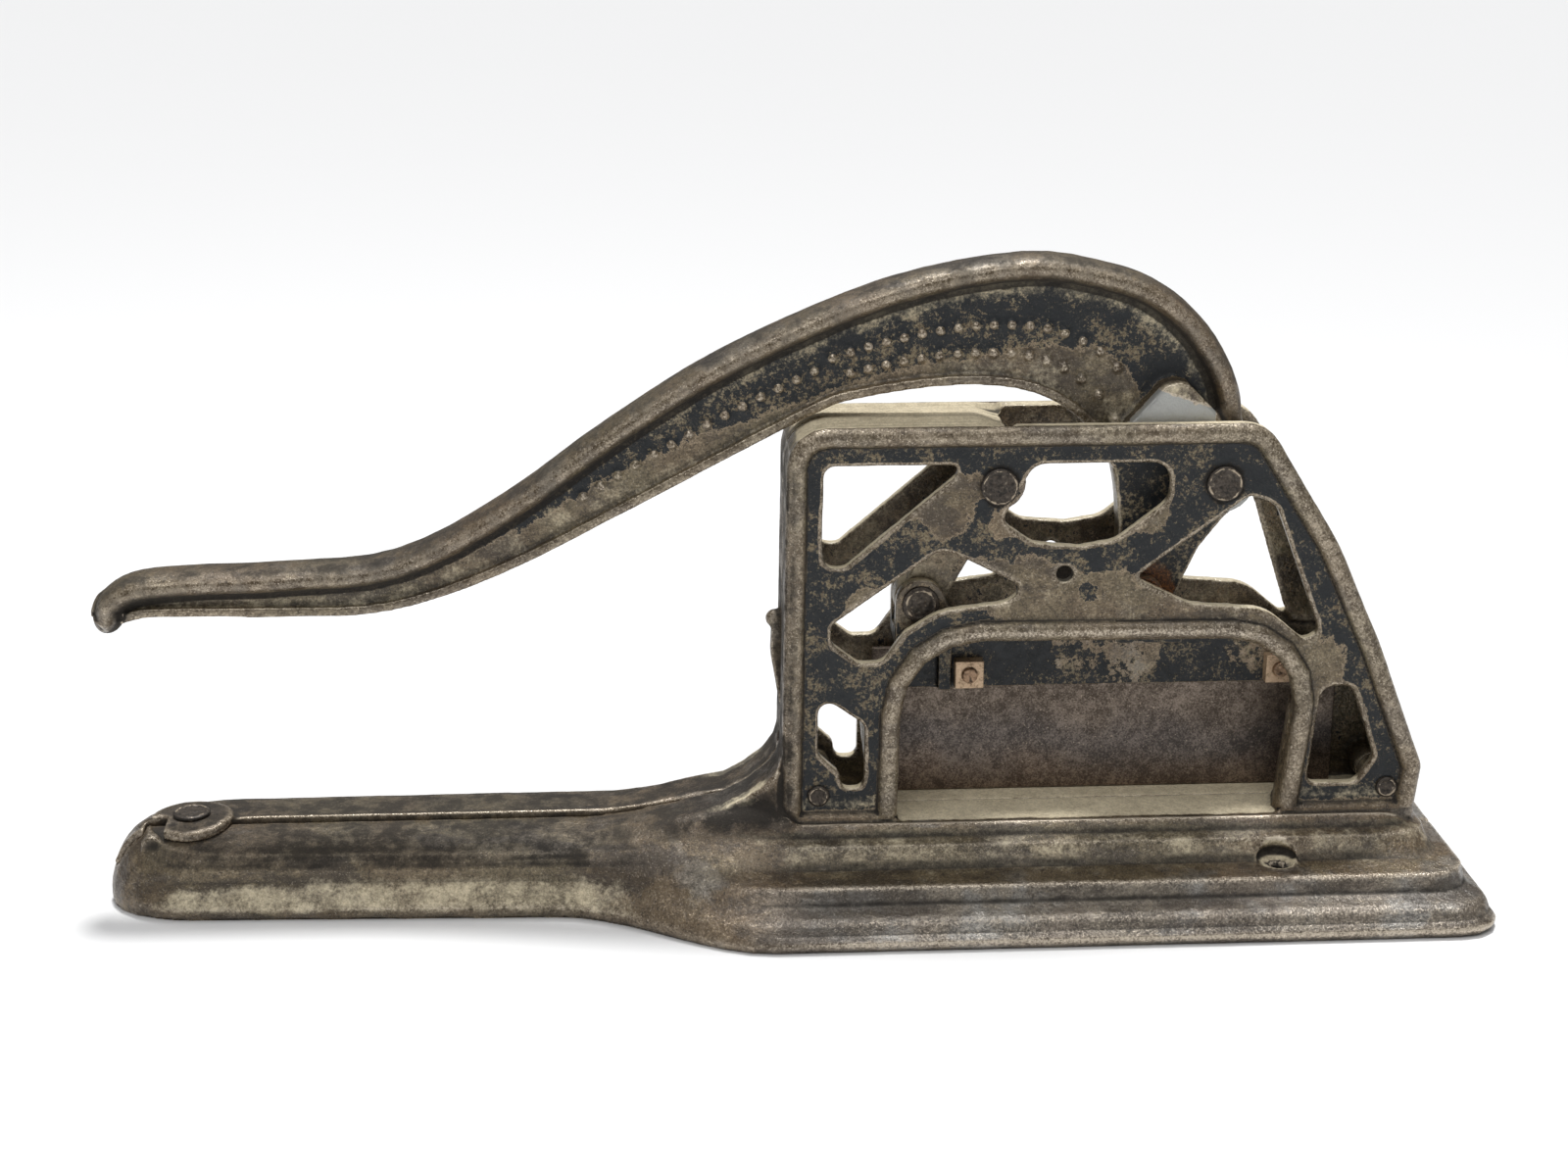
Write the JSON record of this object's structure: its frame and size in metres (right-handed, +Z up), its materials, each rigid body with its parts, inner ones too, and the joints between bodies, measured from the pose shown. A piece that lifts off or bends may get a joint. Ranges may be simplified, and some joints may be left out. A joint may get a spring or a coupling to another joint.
{
  "type": "countertop plug cutter",
  "caption": "Cast-iron countertop guillotine: a long curved lever and a parallel link drive a level blade down between two openwork side plates on a long-tailed base.",
  "frame": {"origin": "centre of the underside of the base, on the plane where the two side castings meet", "axes": "+X from the tail towards the cutting frame, +Z up, the front side plate at -Y"},
  "size_m": [0.4456, 0.116, 0.2095],
  "materials": {
    "japanned_iron": "worn black japan over brown cast iron",
    "lever_iron": "handled brown cast iron with worn black panels",
    "rivet_iron": "dark hammered iron",
    "blade_steel": "dark browned steel",
    "screw_steel": "browned steel",
    "nut_copper_brown": "coppery brown steel"
  },
  "bodies": {
    "frame": {"front_casting": "japanned_iron", "rear_casting": "japanned_iron", "tail_rivet": "rivet_iron", "lower_left_rivet": "rivet_iron", "lower_right_rivet": "rivet_iron", "lever_pin": "rivet_iron", "link_pin": "rivet_iron"},
    "lever": {"lever": "lever_iron"},
    "link": {"swing_link": "japanned_iron"},
    "carrier": {"blade_carrier": "japanned_iron", "blade": "blade_steel", "lever_carrier_pin": "rivet_iron", "link_carrier_pin": "rivet_iron", "left_blade_screw": "screw_steel", "right_blade_screw": "screw_steel", "left_square_nut": "nut_copper_brown", "right_square_nut": "nut_copper_brown"}
  },
  "joints": [
    {"name": "lever_swing", "type": "hinge", "parent": "frame", "child": "lever", "pos_m": [0.135, 0, 0.139], "axis": [0, 1, 0], "range_deg": [0, 50]},
    {"name": "link_swing", "type": "hinge", "parent": "frame", "child": "link", "pos_m": [0.064, 0, 0.139], "axis": [0, 1, 0], "range_deg": [0, 50]},
    {"name": "carrier_level", "type": "hinge", "parent": "lever", "child": "carrier", "pos_m": [0.1117, 0, 0.0985], "axis": [0, 1, 0], "range_deg": [-50, 0]}
  ],
  "couplings": [
    {"joint": "link_swing", "follows": "lever_swing", "ratio": 1},
    {"joint": "carrier_level", "follows": "lever_swing", "ratio": -1}
  ]
}
